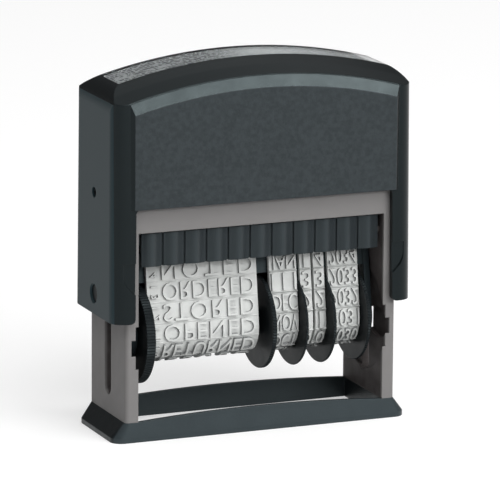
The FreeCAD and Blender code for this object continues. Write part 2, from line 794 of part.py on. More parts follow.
shapes = {
    "foot": foot(),
    "frame": frame(),
    "return_spring": return_spring(),
    "cap_shell": cap_shell(),
    "index_card": index_card(),
    "index_window": index_window(),
    "pad_tray": pad_tray(),
    "pad_felt": pad_felt(),
    "left_cheek": cheek(-1),
    "right_cheek": cheek(1),
    "left_pivot_pin": pivot_pin(-1),
    "right_pivot_pin": pivot_pin(1),
    "platen": platen(),
    "wheel_shaft": wheel_shaft(),
}
for name in wheels:
    shapes[name + "_band"] = band(name)
    shapes[name + "_wheel"] = wheel(name)

os.makedirs("parts", exist_ok=True)
for name, shape in shapes.items():
    shape.exportStep("parts/" + name + ".step")
    print(name, "volume", round(shape.Volume, 1), "solids", len(shape.Solids), "valid", shape.isValid())
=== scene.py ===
import bpy
import bmesh
import math
from mathutils import Euler, Matrix, Vector, noise


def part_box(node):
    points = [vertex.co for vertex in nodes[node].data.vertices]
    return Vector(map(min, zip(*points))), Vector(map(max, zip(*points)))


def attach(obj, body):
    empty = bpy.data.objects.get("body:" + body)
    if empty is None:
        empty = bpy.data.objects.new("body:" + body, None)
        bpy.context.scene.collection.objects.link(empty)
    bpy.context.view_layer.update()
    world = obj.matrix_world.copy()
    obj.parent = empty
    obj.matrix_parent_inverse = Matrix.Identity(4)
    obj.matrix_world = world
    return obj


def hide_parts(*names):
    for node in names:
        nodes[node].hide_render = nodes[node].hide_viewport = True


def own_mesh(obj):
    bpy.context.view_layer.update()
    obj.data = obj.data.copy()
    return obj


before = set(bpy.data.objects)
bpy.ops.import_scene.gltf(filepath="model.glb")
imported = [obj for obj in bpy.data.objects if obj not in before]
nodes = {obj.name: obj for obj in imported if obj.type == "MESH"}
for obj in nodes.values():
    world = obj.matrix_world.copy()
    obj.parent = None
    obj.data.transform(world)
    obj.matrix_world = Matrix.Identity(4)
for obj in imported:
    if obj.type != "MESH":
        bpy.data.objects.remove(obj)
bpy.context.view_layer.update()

# Self-inking date and phrase stamp: finishes, rubber type, ink pad and return spring on the
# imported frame. Metres, Z up, the front faces -Y.

scene = bpy.context.scene
scene.view_settings.view_transform = "Standard"

view = {
    "azimuth": -22.58,      # degrees round from straight ahead
    "elevation": 13.01,
    "roll": 0.42,
    "distance": 1.0637,
    "lens": 375.1,
    "sensor": 36,
    "clipStart": 0.05,
    "clipEnd": 20,
    "target": (0.001446, 0.0, 0.03536),
}


def directionFrom(azimuth, elevation):
    a = math.radians(azimuth)
    e = math.radians(elevation)
    return Vector((math.sin(a) * math.cos(e), -math.cos(a) * math.cos(e), math.sin(e)))


def makeCamera():
    back = directionFrom(view["azimuth"], view["elevation"])
    data = bpy.data.cameras.new("camera")
    data.lens = view["lens"]
    data.sensor_width = view["sensor"]
    data.clip_start = view["clipStart"]
    data.clip_end = view["clipEnd"]
    camera = bpy.data.objects.new("camera", data)
    scene.collection.objects.link(camera)
    roll = Euler((0, 0, math.radians(view["roll"]))).to_quaternion()
    camera.rotation_mode = "QUATERNION"
    camera.rotation_quaternion = (-back).to_track_quat("-Z", "Y") @ roll
    camera.location = Vector(view["target"]) + back * view["distance"]
    scene.camera = camera


makeCamera()
print("camera ready")


def setOrLink(tree, socket, value):
    if isinstance(value, bpy.types.NodeSocket):
        tree.links.new(value, socket)
    else:
        socket.default_value = value


# A shader node, with each input set to a value or joined to another node's output.
def addNode(tree, kind, inputs, **settings):
    node = tree.nodes.new("ShaderNode" + kind)
    for name, value in settings.items():
        setattr(node, name, value)
    for name, value in inputs.items():
        setOrLink(tree, node.inputs[name], value)
    return node


def newMaterial(name):
    material = bpy.data.materials.new(name)
    material.use_nodes = True
    tree = material.node_tree
    return material, tree, tree.nodes["Principled BSDF"]


def objectPlace(tree):
    return addNode(tree, "TexCoord", {}).outputs["Object"]


def axesOf(tree, place):
    return addNode(tree, "SeparateXYZ", {"Vector": place}).outputs


def noiseOn(tree, place, scale, detail=2.0, stretch=(1, 1, 1)):
    spread = addNode(tree, "Mapping", {"Vector": place, "Scale": stretch}).outputs["Vector"]
    return addNode(tree, "TexNoise", {"Vector": spread, "Scale": scale, "Detail": detail}).outputs["Fac"]


# A value moved from one span to another, and held at the ends.
def rangeOf(tree, value, source, target=(0.0, 1.0)):
    return addNode(tree, "MapRange", {
        "Value": value, "From Min": source[0], "From Max": source[1],
        "To Min": target[0], "To Max": target[1],
    }).outputs["Result"]


def calculate(tree, operation, first, second=0.0):
    node = addNode(tree, "Math", {}, operation=operation)
    setOrLink(tree, node.inputs[0], first)
    setOrLink(tree, node.inputs[1], second)
    return node.outputs["Value"]


def product(tree, first, *others):
    for other in others:
        first = calculate(tree, "MULTIPLY", first, other)
    return first


# The mix node has its own sockets for each type of data.
def mixColours(tree, share, first, second):
    node = addNode(tree, "Mix", {}, data_type="RGBA")
    for socket, value in ((0, share), (6, first), (7, second)):
        setOrLink(tree, node.inputs[socket], value)
    return node.outputs[2]


def mixNumbers(tree, share, first, second):
    node = addNode(tree, "Mix", {}, data_type="FLOAT")
    for socket, value in ((0, share), (2, first), (3, second)):
        setOrLink(tree, node.inputs[socket], value)
    return node.outputs[0]


def shade(colour, factor=1.0):
    return tuple(channel * factor for channel in colour) + (1.0,)


# A colour that wanders evenly to both sides of the named one.
def mottled(tree, share, colour, spread):
    return mixColours(tree, share, shade(colour, 1 - spread), shade(colour, 1 + spread))


def around(middle, spread):
    return middle - spread, middle + spread


def addBump(tree, shader, inputs, **settings):
    bump = addNode(tree, "Bump", inputs, **settings)
    tree.links.new(bump.outputs["Normal"], shader.inputs["Normal"])
    return bump


def giveFinish(names, material):
    for name in names:
        for slot in nodes[name].material_slots:
            slot.material = material


# A finished shape as an object in the scene.
def newPiece(name, shape, materials, smooth=False):
    mesh = bpy.data.meshes.new(name)
    shape.to_mesh(mesh)
    shape.free()
    for material in materials:
        mesh.materials.append(material)
    if smooth:
        for face in mesh.polygons:
            face.use_smooth = True
    piece = bpy.data.objects.new(name, mesh)
    scene.collection.objects.link(piece)
    return piece


midNoise = (0.3, 0.7)       # most of a noise texture's values lie between these

moulded = {
    "mottleScale": 160,
    "glossScale": 368,
    "edgeTurn": (0.985, 0.86),      # cosine between flat and rounded edge, from plain to worn and lit
    "edgePatchScale": 700,
    "edgePatchNoise": (0.35, 0.65),
    "edgePatchShare": (0.3, 1.0),
    "grainDepth": 0.00004,
}


# Moulded or cast surface: mottled colour, fine grain, soft edges painted paler in patches, partly as wear
# and partly as a painted highlight line.
def mouldedMaterial(name, look):
    material, tree, shader = newMaterial(name)
    place = objectPlace(tree)
    mottle = noiseOn(tree, place, moulded["mottleScale"], 3)
    colour = mottled(tree, mottle, look["colour"], look["mottle"])
    rounded = addNode(tree, "Bevel", {"Radius": look["edge"]}, samples=4).outputs["Normal"]
    # Paler edges: partly wear, partly a painted highlight line along the rounded edges.
    if look["wearAndHighlight"] > 0:
        agree = addNode(tree, "VectorMath", {}, operation="DOT_PRODUCT")
        tree.links.new(rounded, agree.inputs[0])
        tree.links.new(addNode(tree, "NewGeometry", {}).outputs["Normal"], agree.inputs[1])
        onEdge = rangeOf(tree, agree.outputs["Value"], moulded["edgeTurn"])
        edgePatches = noiseOn(tree, place, moulded["edgePatchScale"], 3)
        patchy = rangeOf(tree, edgePatches, moulded["edgePatchNoise"], moulded["edgePatchShare"])
        wornAndLit = product(tree, onEdge, patchy, look["wearAndHighlight"])
        colour = mixColours(tree, wornAndLit, colour, shade(look["wearAndHighlightColour"]))
    tree.links.new(colour, shader.inputs["Base Color"])
    roughness = rangeOf(tree, noiseOn(tree, place, moulded["glossScale"], 3), midNoise,
                        around(look["roughness"], look["roughnessSpread"]))
    tree.links.new(roughness, shader.inputs["Roughness"])
    grain = addBump(tree, shader, {
        "Strength": look["grain"], "Distance": moulded["grainDepth"],
        "Height": noiseOn(tree, place, look["grainScale"], 2), "Normal": rounded,
    })
    grain.name = "grain"
    shader.inputs["Specular IOR Level"].default_value = look.get("specular", 0.5)
    shader.inputs["Specular Tint"].default_value = shade(look.get("tint", (1.0, 1.0, 1.0)))
    return material, tree, shader, place, colour, roughness


coolTint = (0.80, 0.97, 1.0)      # black plastic's reflections lean to blue-green

capLook = {
    "colour": (0.0035, 0.0050, 0.0058), "mottle": 0.12, "roughness": 0.2, "roughnessSpread": 0.03,
    "specular": 0.22, "tint": coolTint,
    "grain": 0.12, "grainScale": 2600, "edge": 0.00025, "wearAndHighlight": 0.25, "wearAndHighlightColour": (0.045, 0.055, 0.06),
    "panelHalf": 0.0289, "panelFace": 0.01225, "panelLow": 0.0482,      # the panel is within, past and above
    "panelColour": (0.0295, 0.0345, 0.0378), "panelRoughness": 0.43, "panelGrain": 0.6,
    "speckleScale": 1100, "speckleNoise": (0.35, 0.65), "speckle": 0.16,
    "sideFace": 0.0322, "sideRoughness": 0.5, "sidePaintedLightColour": (0.0150, 0.0290, 0.0350),      # end walls, painted lighter and blue-green as a painted reflection
}


# Glossy cap with matt end walls, painted lighter and blue-green as a painted reflection, and a speckled matt
# panel in front and behind.
def makeCapMaterial():
    look = capLook
    material, tree, shader, place, colour, roughness = mouldedMaterial("capPlastic", look)
    axes = axesOf(tree, place)
    across = calculate(tree, "ABSOLUTE", axes["X"])
    depth = calculate(tree, "ABSOLUTE", axes["Y"])
    panel = product(tree, calculate(tree, "LESS_THAN", across, look["panelHalf"]),
                    calculate(tree, "GREATER_THAN", depth, look["panelFace"]),
                    calculate(tree, "GREATER_THAN", axes["Z"], look["panelLow"]))
    speckle = rangeOf(tree, noiseOn(tree, place, look["speckleScale"], 3), look["speckleNoise"])
    panelColour = mottled(tree, speckle, look["panelColour"], look["speckle"])
    side = calculate(tree, "GREATER_THAN", across, look["sideFace"])
    # The end walls take a painted reflection: a lighter blue-green colour.
    colour = mixColours(tree, side, colour, shade(look["sidePaintedLightColour"]))
    tree.links.new(mixColours(tree, panel, colour, panelColour), shader.inputs["Base Color"])
    roughness = mixNumbers(tree, side, roughness, look["sideRoughness"])
    roughness = mixNumbers(tree, panel, roughness, look["panelRoughness"])
    tree.links.new(roughness, shader.inputs["Roughness"])
    tree.links.new(rangeOf(tree, panel, (0.0, 1.0), (look["grain"], look["panelGrain"])),
                   tree.nodes["grain"].inputs["Strength"])
    giveFinish(["cap_shell"], material)


makeCapMaterial()

satinLook = {
    "colour": (0.0200, 0.0265, 0.0300), "mottle": 0.15, "roughness": 0.34, "roughnessSpread": 0.05,
    "specular": 0.25, "tint": coolTint,
    "grain": 0.25, "grainScale": 2200, "edge": 0.0002, "wearAndHighlight": 0.3, "wearAndHighlightColour": (0.06, 0.07, 0.075),
}
satinPlastic = mouldedMaterial("satinPlastic", satinLook)[0]
giveFinish(["left_cheek", "right_cheek", "platen"], satinPlastic)

# The mouth's painted shade sets in between the two depths of "inner".
footLook = dict(satinLook, colour=(0.0290, 0.0370, 0.0415), specular=0.36, roughness=0.36, grain=0.6,
                grainScale=1500, inner=(0.0093, 0.0089), innerShadeColour=(0.0040, 0.0050, 0.0060))


# The foot's mouth is painted darker, as painted shade in the recess.
def makeFootMaterial():
    look = footLook
    material, tree, shader, place, colour, _ = mouldedMaterial("footPlastic", look)
    mouthShade = rangeOf(tree, calculate(tree, "ABSOLUTE", axesOf(tree, place)["Y"]), look["inner"])
    # Painted shade inside the foot's mouth.
    mouthShaded = mixColours(tree, mouthShade, colour, shade(look["innerShadeColour"]))
    tree.links.new(mouthShaded, shader.inputs["Base Color"])
    giveFinish(["foot"], material)


makeFootMaterial()

trayLook = dict(satinLook, colour=(0.0290, 0.0350, 0.0385), flutes=11, fluteStrength=0.5,
                fluteDepth=0.0011, fluteFace=0.0084)


# The grip's flutes are fuller in the shading than in the solid.
def makeTrayMaterial():
    look = trayLook
    material, tree, shader, place, _, _ = mouldedMaterial("trayPlastic", look)
    low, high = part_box("pad_tray")
    axes = axesOf(tree, place)
    across = rangeOf(tree, axes["X"], (low.x, high.x), (0.0, look["flutes"] * 2 * math.pi))
    forward = calculate(tree, "GREATER_THAN", calculate(tree, "ABSOLUTE", axes["Y"]), look["fluteFace"])
    addBump(tree, shader, {
        "Strength": look["fluteStrength"], "Distance": look["fluteDepth"],
        "Height": product(tree, calculate(tree, "COSINE", across), forward),
        "Normal": tree.nodes["grain"].outputs["Normal"],
    }, invert=True)
    giveFinish(["pad_tray"], material)


makeTrayMaterial()

wheelLook = {
    "colour": (0.0085, 0.0105, 0.0118), "mottle": 0.15, "roughness": 0.36, "roughnessSpread": 0.04,
    "specular": 0.12, "tint": coolTint,
    "grain": 0.2, "grainScale": 2600, "edge": 0.00012, "wearAndHighlight": 0.25, "wearAndHighlightColour": (0.05, 0.058, 0.062),
}
wheelPlastic = mouldedMaterial("wheelPlastic", wheelLook)[0]

pinLook = dict(wheelLook, colour=(0.004, 0.005, 0.006), roughness=0.45, wearAndHighlight=0.0)
pinPlastic = mouldedMaterial("pinPlastic", pinLook)[0]
giveFinish(["left_pivot_pin", "right_pivot_pin"], pinPlastic)

frameLook = {
    "colour": (0.213, 0.207, 0.205), "mottle": 0.05, "roughness": 0.52, "roughnessSpread": 0.05,
    "specular": 0.12,
    "grain": 0.3, "grainScale": 1900, "edge": 0.00025, "wearAndHighlight": 0.25, "wearAndHighlightColour": (0.34, 0.33, 0.32),
    # the painted shade sets in between the two sizes of each pair
    "innerHalf": (0.0293, 0.0289), "innerDepth": (0.0097, 0.0091), "innerShadeColour": (0.055, 0.046, 0.045),
    "shadeBlotchScale": 260, "shadeBlotchShare": (0.75, 1.0),
}


# The frame's inside is painted darker in patches, as painted shade.
def makeFrameMaterial():
    look = frameLook
    material, tree, shader, place, colour, _ = mouldedMaterial("framePlastic", look)
    axes = axesOf(tree, place)
    shadeBlotches = noiseOn(tree, place, look["shadeBlotchScale"], 4)
    insideShade = product(tree, rangeOf(tree, calculate(tree, "ABSOLUTE", axes["X"]), look["innerHalf"]),
                    rangeOf(tree, calculate(tree, "ABSOLUTE", axes["Y"]), look["innerDepth"]),
                    rangeOf(tree, shadeBlotches, midNoise, look["shadeBlotchShare"]))
    # Painted shade on the frame's inside.
    insideShaded = mixColours(tree, insideShade, colour, shade(look["innerShadeColour"]))
    tree.links.new(insideShaded, shader.inputs["Base Color"])
    giveFinish(["frame"], material)


makeFrameMaterial()

steelLook = {
    "colour": (0.52, 0.52, 0.51), "mottle": 0.12, "roughness": 0.3, "roughnessSpread": 0.08,
    "grain": 0.3, "grainScale": 1500, "edge": 0.0001, "wearAndHighlight": 0.0,
}


def makeDrawnSteel():
    material, _, shader, _, _, _ = mouldedMaterial("drawnSteel", steelLook)
    shader.inputs["Metallic"].default_value = 1.0
    return material


drawnSteel = makeDrawnSteel()
giveFinish(["wheel_shaft"], drawnSteel)
print("plastics and steel ready")

cardLook = {
    "colour": (0.93, 0.94, 0.95), "fibreScale": 1400, "fibreShades": (0.93, 1.06), "roughness": 0.55,
    "bump": 0.15, "bumpDepth": 0.00002,
    "ink": (0.02, 0.02, 0.03), "rowPitch": 0.0012, "rowFill": 0.34,
    "markScale": 1700, "markStretch": (1.0, 0.6, 0.0), "markCut": 0.46,
    "wordScale": 300, "wordStretch": (1.0, 2.2, 0.0), "wordCut": 0.40,
    "printLeft": -0.0285, "fade": (-0.008, 0.002),      # the print thins out, and the painted shade on the left fades, between these
    "leftPaintedShade": 0.52, "rim": (0.0020, 0.0046), "rimShade": 0.6,
}


# Printed index card: rows of fine illegible marks on its left part. The paper is painted darker towards the
# left as painted shade, and is darker towards its front and back edges.
def makeCardMaterial():
    look = cardLook
    material, tree, shader = newMaterial("printedCard")
    place = objectPlace(tree)
    axes = axesOf(tree, place)
    row = calculate(tree, "FRACT", calculate(tree, "DIVIDE", axes["Y"], look["rowPitch"]))
    offRow = calculate(tree, "ABSOLUTE", calculate(tree, "SUBTRACT", row, 0.5))
    marks = noiseOn(tree, place, look["markScale"], 1, look["markStretch"])
    words = noiseOn(tree, place, look["wordScale"], 1, look["wordStretch"])
    leftPart = rangeOf(tree, axes["X"], look["fade"], (1.0, 0.0))
    printed = product(tree, calculate(tree, "GREATER_THAN", marks, look["markCut"]),
                      calculate(tree, "GREATER_THAN", words, look["wordCut"]),
                      calculate(tree, "LESS_THAN", offRow, look["rowFill"]),
                      calculate(tree, "GREATER_THAN", axes["X"], look["printLeft"]), leftPart)
    fibre = noiseOn(tree, place, look["fibreScale"], 4)
    dark, light = look["fibreShades"]
    paper = mixColours(tree, fibre, shade(look["colour"], dark), shade(look["colour"], light))
    # Painted shade darkens the paper towards the left.
    paper = mixColours(tree, leftPart, paper, shade(look["colour"], look["leftPaintedShade"]))
    rim = rangeOf(tree, calculate(tree, "ABSOLUTE", axes["Y"]), look["rim"])
    paper = mixColours(tree, rim, paper, shade(look["colour"], look["rimShade"]))
    tree.links.new(mixColours(tree, printed, paper, shade(look["ink"])), shader.inputs["Base Color"])
    shader.inputs["Roughness"].default_value = look["roughness"]
    addBump(tree, shader, {"Strength": look["bump"], "Distance": look["bumpDepth"], "Height": fibre})
    giveFinish(["index_card"], material)


makeCardMaterial()

windowLook = {
    "dullTint": (0.93, 0.96, 0.96), "clearTint": (0.97, 0.99, 0.99), "hazeScale": 300,
    "roughness": (0.02, 0.07), "refraction": 1.2,
    "scratchScale": 900, "scratchStretch": (0.08, 1.0, 1.0), "bump": 0.08, "bumpDepth": 0.00002,
}


# Clear moulded window: thin, glossy, with faint fine scratches.
def makeWindowMaterial():
    look = windowLook
    material, tree, shader = newMaterial("clearWindow")
    place = objectPlace(tree)
    haze = noiseOn(tree, place, look["hazeScale"], 3)
    tint = mixColours(tree, haze, shade(look["dullTint"]), shade(look["clearTint"]))
    tree.links.new(tint, shader.inputs["Base Color"])
    tree.links.new(rangeOf(tree, haze, midNoise, look["roughness"]), shader.inputs["Roughness"])
    scratches = noiseOn(tree, place, look["scratchScale"], 2, look["scratchStretch"])
    addBump(tree, shader, {"Strength": look["bump"], "Distance": look["bumpDepth"], "Height": scratches})
    shader.inputs["Transmission Weight"].default_value = 1.0
    shader.inputs["IOR"].default_value = look["refraction"]
    giveFinish(["index_window"], material)


makeWindowMaterial()
print("card and window ready")

rubberLook = {
    "faceColour": (0.67, 0.685, 0.67), "faceStain": (0.56, 0.575, 0.565),
    # The letters' sides are painted darker, as painted shade, and their stain darker still.
    "sidePaintedLightColour": (0.30, 0.31, 0.31), "sideShadeAndStain": (0.210, 0.217, 0.217),
    "stainScale": 380, "stainNoise": (0.42, 0.75),
    "fineScale": 2400, "fineShades": (0.94, 1.05), "roughness": 0.6, "roughnessSpread": 0.06,
    "bump": 0.3, "bumpDepth": 0.00003,
}


# Pale type rubber, with patches of dried ink stain; the darker copy for the letters' sides is painted shade.
def rubberMaterial(name, colour, stain):
    look = rubberLook
    material, tree, shader = newMaterial(name)
    place = objectPlace(tree)
    patches = rangeOf(tree, noiseOn(tree, place, look["stainScale"], 4), look["stainNoise"])
    fine = noiseOn(tree, place, look["fineScale"], 3)
    dark, light = look["fineShades"]
    base = mixColours(tree, fine, shade(colour, dark), shade(colour, light))
    tree.links.new(mixColours(tree, patches, base, shade(stain)), shader.inputs["Base Color"])
    roughness = rangeOf(tree, fine, midNoise, around(look["roughness"], look["roughnessSpread"]))
    tree.links.new(roughness, shader.inputs["Roughness"])
    addBump(tree, shader, {"Strength": look["bump"], "Distance": look["bumpDepth"], "Height": fine})
    return material


typeRubber = rubberMaterial("typeRubber", rubberLook["faceColour"], rubberLook["faceStain"])
# The letters' sides: a darker copy of the rubber, as painted shade, with its stain.
typeSidesShaded = rubberMaterial("typeSidesShaded", rubberLook["sidePaintedLightColour"], rubberLook["sideShadeAndStain"])

loop = {
    "drumRadius": 0.0064,       # over the type, round the wheels
    "noseRadius": 0.0020,       # where the band turns round the platen's edges
    "noseHalf": 0.0020,         # half of the flat that prints
    "thickness": 0.0015,
    "relief": 0.0006,           # type over the carcass
    "rowCount": 15,
    "rowSteps": 5,
    "rowEdge": 0.0004,          # width of the ridge between two rows, at its foot
    "letterCuts": 7,
    "letterInset": 0.00002,     # letters stay this far inside the type face
    "letterRoot": 1.5,          # height of a letter with its root, in reliefs
}
bandLow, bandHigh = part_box("month_band")
loop["typeZ"] = bandHigh.z
loop["noseZ"] = bandHigh.z - loop["noseRadius"]
loop["shaftZ"] = bandLow.z + loop["drumRadius"]


# How far the side run leans, and its length from nose to drum.
def sideOfLoop():
    rise = loop["noseZ"] - loop["shaftZ"]
    span = math.hypot(loop["noseHalf"], rise)
    fall = loop["drumRadius"] - loop["noseRadius"]
    return math.atan2(rise, loop["noseHalf"]) - math.acos(fall / span), math.sqrt(span ** 2 - fall ** 2)


tilt, sideRun = sideOfLoop()
noseTurn = loop["noseRadius"] * (math.pi / 2 - tilt)
halfLoop = loop["noseHalf"] + noseTurn + sideRun + loop["drumRadius"] * (math.pi / 2 + tilt)
rowPitch = 2 * halfLoop / loop["rowCount"]


# The band's type face and its outward direction, by the distance round from the top's middle.
def loopPoint(distance):
    distance %= 2 * halfLoop
    side = 1
    if distance > halfLoop:
        distance = 2 * halfLoop - distance
        side = -1
    run = distance - loop["noseHalf"]
    if run <= 0:
        y, z, angle = distance, loop["typeZ"], math.pi / 2
    elif run <= noseTurn:
        angle = math.pi / 2 - run / loop["noseRadius"]
        y = loop["noseHalf"] + loop["noseRadius"] * math.cos(angle)
        z = loop["noseZ"] + loop["noseRadius"] * math.sin(angle)
    elif run <= noseTurn + sideRun:
        angle = tilt
        run -= noseTurn
        y = loop["noseHalf"] + loop["noseRadius"] * math.cos(tilt) + run * math.sin(tilt)
        z = loop["noseZ"] + loop["noseRadius"] * math.sin(tilt) - run * math.cos(tilt)
    else:
        angle = tilt - (run - noseTurn - sideRun) / loop["drumRadius"]
        y = loop["drumRadius"] * math.cos(angle)
        z = loop["shaftZ"] + loop["drumRadius"] * math.sin(angle)
    if side < 0:
        angle = math.pi - angle
    return Vector((0, side * y, z)), Vector((0, math.cos(angle), math.sin(angle)))


# A closed ring of points inside the type face, drawn out to the band's width.
def loopTube(shape, x0, x1, stations):
    ring = bmesh.ops.create_circle(shape, segments=len(stations), radius=1.0, cap_ends=False)["verts"]
    for vert, (distance, depth) in zip(ring, stations):
        point, outward = loopPoint(distance)
        vert.co = point - outward * depth
        vert.co.x = x0
    rim = list(dict.fromkeys(edge for vert in ring for edge in vert.link_edges))
    drawn = bmesh.ops.extrude_edge_only(shape, edges=rim)["geom"]
    far = [item for item in drawn if isinstance(item, bmesh.types.BMVert)]
    bmesh.ops.translate(shape, verts=far, vec=(x1 - x0, 0, 0))
    return rim, [item for item in drawn if isinstance(item, bmesh.types.BMEdge)
                 and all(vert in far for vert in item.verts)]


# The band without its type, with a ridge between each two rows.
def carcass(shape, x0, x1, ridge):
    outer = []
    inner = []
    edge = loop["rowEdge"]
    for row in range(loop["rowCount"]):
        start = (row - 0.5) * rowPitch
        outer.append((start, loop["relief"] - ridge))
        for step in range(loop["rowSteps"]):
            share = step / (loop["rowSteps"] - 1)
            outer.append((start + edge / 2 + share * (rowPitch - edge), loop["relief"]))
        for step in range(loop["rowSteps"] + 1):
            inner.append((start + step * rowPitch / (loop["rowSteps"] + 1), loop["thickness"]))
    nearOuter, farOuter = loopTube(shape, x0, x1, outer)
    nearInner, farInner = loopTube(shape, x0, x1, inner)
    bmesh.ops.bridge_loops(shape, edges=nearOuter + nearInner)
    bmesh.ops.bridge_loops(shape, edges=farOuter + farInner)


lettering = {
    "curveSteps": 3,
    "tightest": 0.95,       # letter spacing
    "loosest": 2.0,
    "slimWords": ("-", "1"),
    "slimShare": 0.55,      # of the row's width
    "firstYear": 2021,
    "sideNumberX": 0.0015,
    "sideNumberWidth": 0.0026,
    "sideNumberHeight": 0.0017,
}


# A word as a slab one unit thick, and the box round it.
def flatWord(word, spacing):
    curve = bpy.data.curves.new("word", "FONT")
    curve.body = word
    curve.extrude = 0.5
    curve.space_character = spacing
    curve.resolution_u = lettering["curveSteps"]
    holder = bpy.data.objects.new("word", curve)
    mesh = bpy.data.meshes.new_from_object(holder)
    bpy.data.objects.remove(holder)
    bpy.data.curves.remove(curve)
    xs = [vert.co.x for vert in mesh.vertices]
    ys = [vert.co.y for vert in mesh.vertices]
    return mesh, min(xs), max(xs), min(ys), max(ys)


# A word spread over its row's width and fitted to its height, with its face flat at the origin.
def wordMesh(word, width, height):
    spans = []
    for spacing in (1.0, 2.0):
        mesh, left, right, low, high = flatWord(word, spacing)
        spans.append((right - left) / (high - low))
        bpy.data.meshes.remove(mesh)
    grow = max(spans[1] - spans[0], 0.01)      # a single letter doesn't grow
    spacing = 1.0 + (width / height - spans[0]) / grow
    spacing = min(max(spacing, lettering["tightest"]), lettering["loosest"])
    mesh, left, right, low, high = flatWord(word, spacing)
    centre = Matrix.Translation((-(left + right) / 2, -(low + high) / 2, -0.5))
    size = Matrix.Diagonal((width / (right - left), height / (high - low), 1.0, 1.0))
    mesh.transform(size @ centre)
    return mesh


# Letters stand head down on the front, and read the right way only once they are printed.
# Each one is cut across a few times, so that it can bend with the band.
def addWord(shape, word, row, x, width, height, turned=False):
    mesh = wordMesh(word, width, height)
    if turned:
        mesh.transform(Matrix.Rotation(math.pi / 2, 4, "Z"))
    letters = bmesh.new()
    letters.from_mesh(mesh)
    for face in letters.faces:
        face.material_index = 0 if abs(face.normal.z) > 0.5 else 1      # type face, or its side in the painted-shade rubber
    reach = max(vert.co.y for vert in letters.verts)
    cuts = loop["letterCuts"]
    for cut in range(1, cuts + 1):
        level = reach * (2 * cut / (cuts + 1) - 1)
        bmesh.ops.bisect_plane(letters, geom=letters.verts[:] + letters.edges[:] + letters.faces[:],
                               plane_co=(0, level, 0), plane_no=(0, 1, 0))
    for vert in letters.verts:
        point, outward = loopPoint(row * rowPitch - vert.co.y)
        depth = loop["letterInset"] - vert.co.z * loop["relief"] * loop["letterRoot"]
        vert.co = Vector((x + vert.co.x, 0, 0)) + point - outward * depth
    bmesh.ops.recalc_face_normals(letters, faces=letters.faces)
    letters.to_mesh(mesh)
    letters.free()
    shape.from_mesh(mesh)
    bpy.data.meshes.remove(mesh)


# The ridge's height, the bare strip at the left and right, and the letters' height.
dateBand = {"ridge": 0.00038, "left": 0.0003, "right": 0.0003, "height": 0.0035}

# The words go round the loop from the middle of its top.
bands = {
    "phrase_band": {
        "rows": ["RECEIVED", "BOOKED", "POSTED", "SIGNED", "MAILED", "CHECKED", "FILED", "CLOSED",
                 "ISSUED", "RETURNED", "OPENED", "STORED", "ORDERED", "NOTED", "COPIED"],
        "ridge": 0.00010, "left": 0.0032, "right": 0.0008, "height": 0.0036, "numbered": True,
    },
    "month_band": dict(dateBand, rows=[
        "JAN", "FEB", "MAR", "APR", "MAY", "JUN", "JUL", "AUG", "SEP", "OCT", "NOV", "DEC",
        "III", "JAN", "FEB"]),
    "tens_band": dict(dateBand, rows=list("123-0123-0123-0")),
    "units_band": dict(dateBand, rows=list("123456789012345")),
    "year_band": dict(dateBand, rows=[
        str(lettering["firstYear"] + row) for row in range(loop["rowCount"])], ridge=0.00030),
}


def makeBand(name):
    look = bands[name]
    low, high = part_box(name)
    shape = bmesh.new()
    carcass(shape, low.x, high.x, look["ridge"])
    bmesh.ops.recalc_face_normals(shape, faces=shape.faces)
    left = low.x + look["left"]
    right = high.x - look["right"]
    for row, word in enumerate(look["rows"]):
        share = lettering["slimShare"] if word in lettering["slimWords"] else 1.0
        addWord(shape, word, row, (left + right) / 2, (right - left) * share, look["height"])
        if look.get("numbered"):
            addWord(shape, "%02d" % (row + 1), row, low.x + lettering["sideNumberX"],
                    lettering["sideNumberWidth"], lettering["sideNumberHeight"], turned=True)
    piece = newPiece(name + "_type", shape, [typeRubber, typeSidesShaded])
    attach(piece, "carriage")
    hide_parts(name)


for bandName in bands:
    makeBand(bandName)
print("type bands ready")

wheels = {
    "bore": 0.00155, "drum": 0.0046, "hub": 0.0027, "chamfer": 0.00012,
    "toothPitch": 0.00062, "toothDepth": 0.00016,
    "discs": {          # left face, right face, radius
        "phrase_wheel": (-0.0251, -0.0232, 0.0105),
        "month_wheel": (0.0027, 0.0036, 0.00975),
        "tens_wheel": (0.0101, 0.01055, 0.00975),
        "units_wheel": (0.0162, 0.01675, 0.00975),
        "year_wheel": (0.02375, 0.0244, 0.00975),
    },
}


# A wheel's outline from left to right: hub, thumb disc and drum, or drum, disc and hub.
def wheelProfile(name):
    discLeft, discRight, discRadius = wheels["discs"][name]
    low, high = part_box(name)
    bandLow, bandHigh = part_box(name.replace("wheel", "band"))
    edge = wheels["chamfer"]
    hub = wheels["hub"]
    drum = wheels["drum"]
    disc = [(discLeft, discRadius - edge), (discLeft + edge, discRadius), (discRight - edge, discRadius),
            (discRight, discRadius - edge)]
    if discLeft < bandLow.x:
        steps = disc + [(discRight, drum), (bandHigh.x, drum)]
        if low.x < discLeft - edge:
            steps = [(low.x, hub), (discLeft, hub)] + steps
        if high.x > bandHigh.x + edge:
            steps += [(bandHigh.x, hub), (high.x, hub)]
    else:
        steps = [(bandLow.x, drum), (discLeft, drum)] + disc
        if high.x > discRight + edge:
            steps += [(discRight, hub), (high.x, hub)]
    return [(steps[0][0], wheels["bore"])] + steps + [(steps[-1][0], wheels["bore"])]


